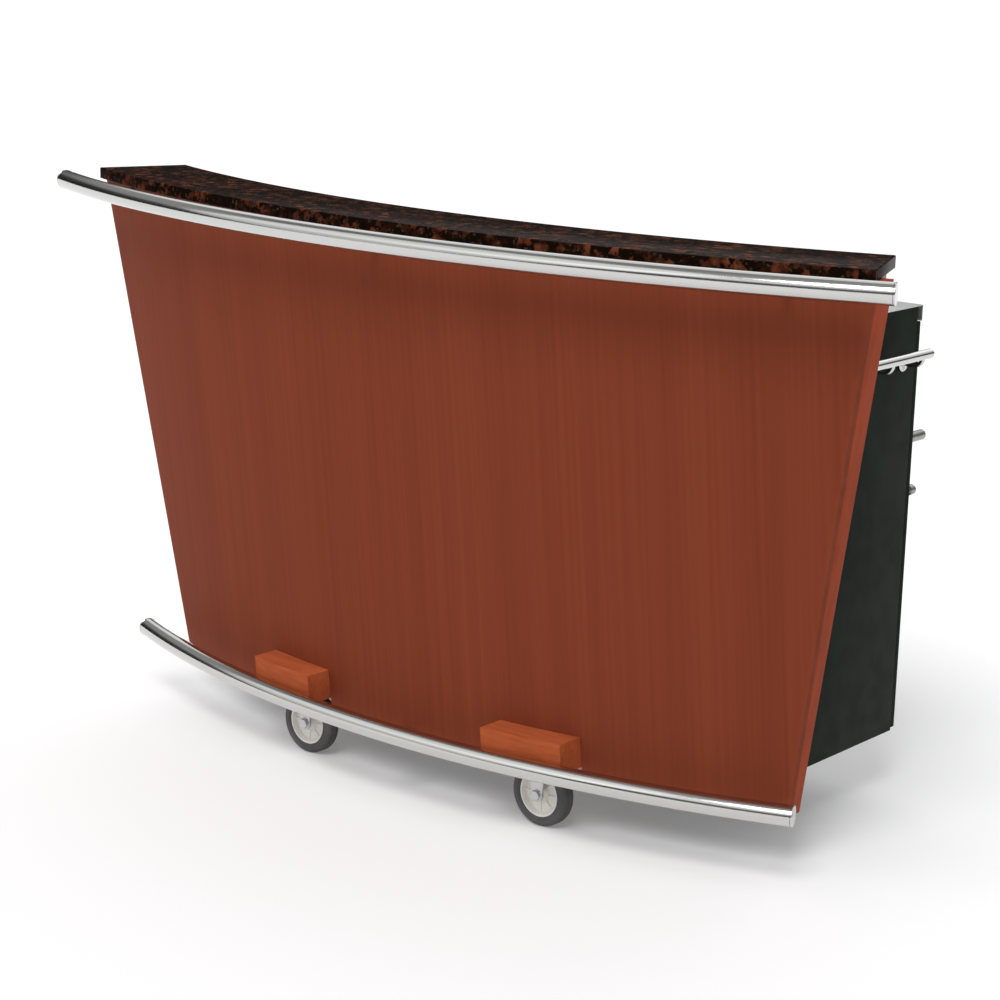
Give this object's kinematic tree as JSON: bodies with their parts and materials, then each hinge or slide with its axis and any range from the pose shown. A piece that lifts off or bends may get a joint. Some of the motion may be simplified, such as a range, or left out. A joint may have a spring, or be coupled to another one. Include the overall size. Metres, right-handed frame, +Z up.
{
  "type": "portable bar",
  "caption": "Portable bar on casters: curved flared wood front with steel rails and a narrow stone top, ahead of a low black cabinet with doors and an ice bin.",
  "frame": {"origin": "on the floor, under the middle of the whole bar", "axes": "+X along the bar to the guests' right when facing -Y side from the front, +Y towards the bartender, +Z up"},
  "size_m": [1.9798, 0.93, 1.1],
  "materials": {
    "cherry": "cherry veneer with a satin lacquer, fine vertical grain",
    "edge_wood": "solid cherry edge boards and blocks, satin lacquer",
    "plywood": "bare plywood",
    "granite": "polished dark brown granite with lighter mottles",
    "stainless": "polished stainless steel tube and sheet",
    "black_laminate": "black laminate on board",
    "zinc": "bright zinc-plated steel",
    "tyre": "dark grey solid rubber",
    "hub": "light grey moulded wheel core"
  },
  "bodies": {
    "bar": {"bar_top": "granite", "bottle_rail": "stainless", "cabinet_base": "black_laminate", "cabinet_hinge_left": "zinc", "cabinet_hinge_right": "zinc", "cabinet_side_left": "black_laminate", "cabinet_side_right": "black_laminate", "caster_block_left": "edge_wood", "caster_block_right": "edge_wood", "caster_fork_front_left": "zinc", "caster_fork_front_right": "zinc", "caster_plate_rear_left": "zinc", "caster_plate_rear_right": "zinc", "divider_left": "black_laminate", "divider_right": "black_laminate", "drain_pipe": "zinc", "foot_rail": "stainless", "foot_rail_strap": "stainless", "front_panel": "cherry", "ice_bin": "stainless", "kick_board": "black_laminate", "panel_back": "black_laminate", "panel_end_left": "edge_wood", "panel_end_right": "edge_wood", "panel_rib_low": "plywood", "panel_rib_top": "plywood", "push_handle_left": "stainless", "push_handle_right": "stainless", "shelf_left": "black_laminate", "shelf_right": "black_laminate", "sub_top": "plywood", "top_bracket_left": "zinc", "top_bracket_right": "zinc", "top_rail": "stainless", "top_rail_foot_left": "stainless", "top_rail_foot_middle": "stainless", "top_rail_foot_right": "stainless", "work_deck": "stainless"},
    "door_left": {"door_left": "black_laminate", "door_knob_left": "stainless", "door_hinge_left": "zinc"},
    "latch_left": {"latch_left": "stainless"},
    "rear_caster_left": {"caster_fork_rear_left": "zinc"},
    "brake_left": {"brake_pedal_rear_left": "zinc"},
    "door_right": {"door_right": "black_laminate", "door_knob_right": "stainless", "door_hinge_right": "zinc"},
    "latch_right": {"latch_right": "stainless"},
    "rear_caster_right": {"caster_fork_rear_right": "zinc"},
    "brake_right": {"brake_pedal_rear_right": "zinc"},
    "bin_lid": {"ice_bin_lid": "stainless"},
    "drain_lever": {"drain_lever": "zinc"},
    "wheel_front_left": {"caster_tyre_front_left": "tyre", "caster_hub_front_left": "hub"},
    "wheel_front_right": {"caster_tyre_front_right": "tyre", "caster_hub_front_right": "hub"},
    "wheel_rear_left": {"caster_tyre_rear_left": "tyre", "caster_hub_rear_left": "hub"},
    "wheel_rear_right": {"caster_tyre_rear_right": "tyre", "caster_hub_rear_right": "hub"}
  },
  "joints": [
    {"name": "door_left_hinge", "type": "hinge", "parent": "bar", "child": "door_left", "pos_m": [-0.224, 0.383, 0.53], "axis": [0, 0, -1], "range_deg": [0, 90]},
    {"name": "latch_left_turn", "type": "hinge", "parent": "door_left", "child": "latch_left", "pos_m": [-0.651, 0.378, 0.59], "axis": [0, 1, 0], "range_deg": [0, 90]},
    {"name": "door_right_hinge", "type": "hinge", "parent": "bar", "child": "door_right", "pos_m": [0.224, 0.383, 0.53], "axis": [0, 0, 1], "range_deg": [0, 90]},
    {"name": "latch_right_turn", "type": "hinge", "parent": "door_right", "child": "latch_right", "pos_m": [0.651, 0.378, 0.59], "axis": [0, -1, 0], "range_deg": [0, 90]},
    {"name": "bin_lid_hinge", "type": "hinge", "parent": "bar", "child": "bin_lid", "pos_m": [0, -0.028, 0.9563], "axis": [1, 0, 0], "range_deg": [0, 95]},
    {"name": "drain_valve", "type": "hinge", "parent": "bar", "child": "drain_lever", "pos_m": [0, 0.167, 0.646], "axis": [0, 1, 0], "range_deg": [0, 90]},
    {"name": "front_left_roll", "type": "hinge", "parent": "bar", "child": "wheel_front_left", "pos_m": [-0.294, -0.221, 0.0625], "axis": [0, 1, 0], "continuous": true},
    {"name": "front_right_roll", "type": "hinge", "parent": "bar", "child": "wheel_front_right", "pos_m": [0.294, -0.221, 0.0625], "axis": [0, 1, 0], "continuous": true},
    {"name": "rear_left_swivel", "type": "hinge", "parent": "bar", "child": "rear_caster_left", "pos_m": [-0.52, 0.244, 0.15], "axis": [0, 0, 1], "continuous": true},
    {"name": "rear_left_roll", "type": "hinge", "parent": "rear_caster_left", "child": "wheel_rear_left", "pos_m": [-0.556, 0.244, 0.0625], "axis": [0, 1, 0], "continuous": true},
    {"name": "brake_left_press", "type": "hinge", "parent": "rear_caster_left", "child": "brake_left", "pos_m": [-0.5533, 0.244, 0.1412], "axis": [0, -1, 0], "range_deg": [0, 12]},
    {"name": "rear_right_swivel", "type": "hinge", "parent": "bar", "child": "rear_caster_right", "pos_m": [0.52, 0.244, 0.15], "axis": [0, 0, 1], "continuous": true},
    {"name": "rear_right_roll", "type": "hinge", "parent": "rear_caster_right", "child": "wheel_rear_right", "pos_m": [0.484, 0.244, 0.0625], "axis": [0, 1, 0], "continuous": true},
    {"name": "brake_right_press", "type": "hinge", "parent": "rear_caster_right", "child": "brake_right", "pos_m": [0.4867, 0.244, 0.1412], "axis": [0, -1, 0], "range_deg": [0, 12]}
  ]
}
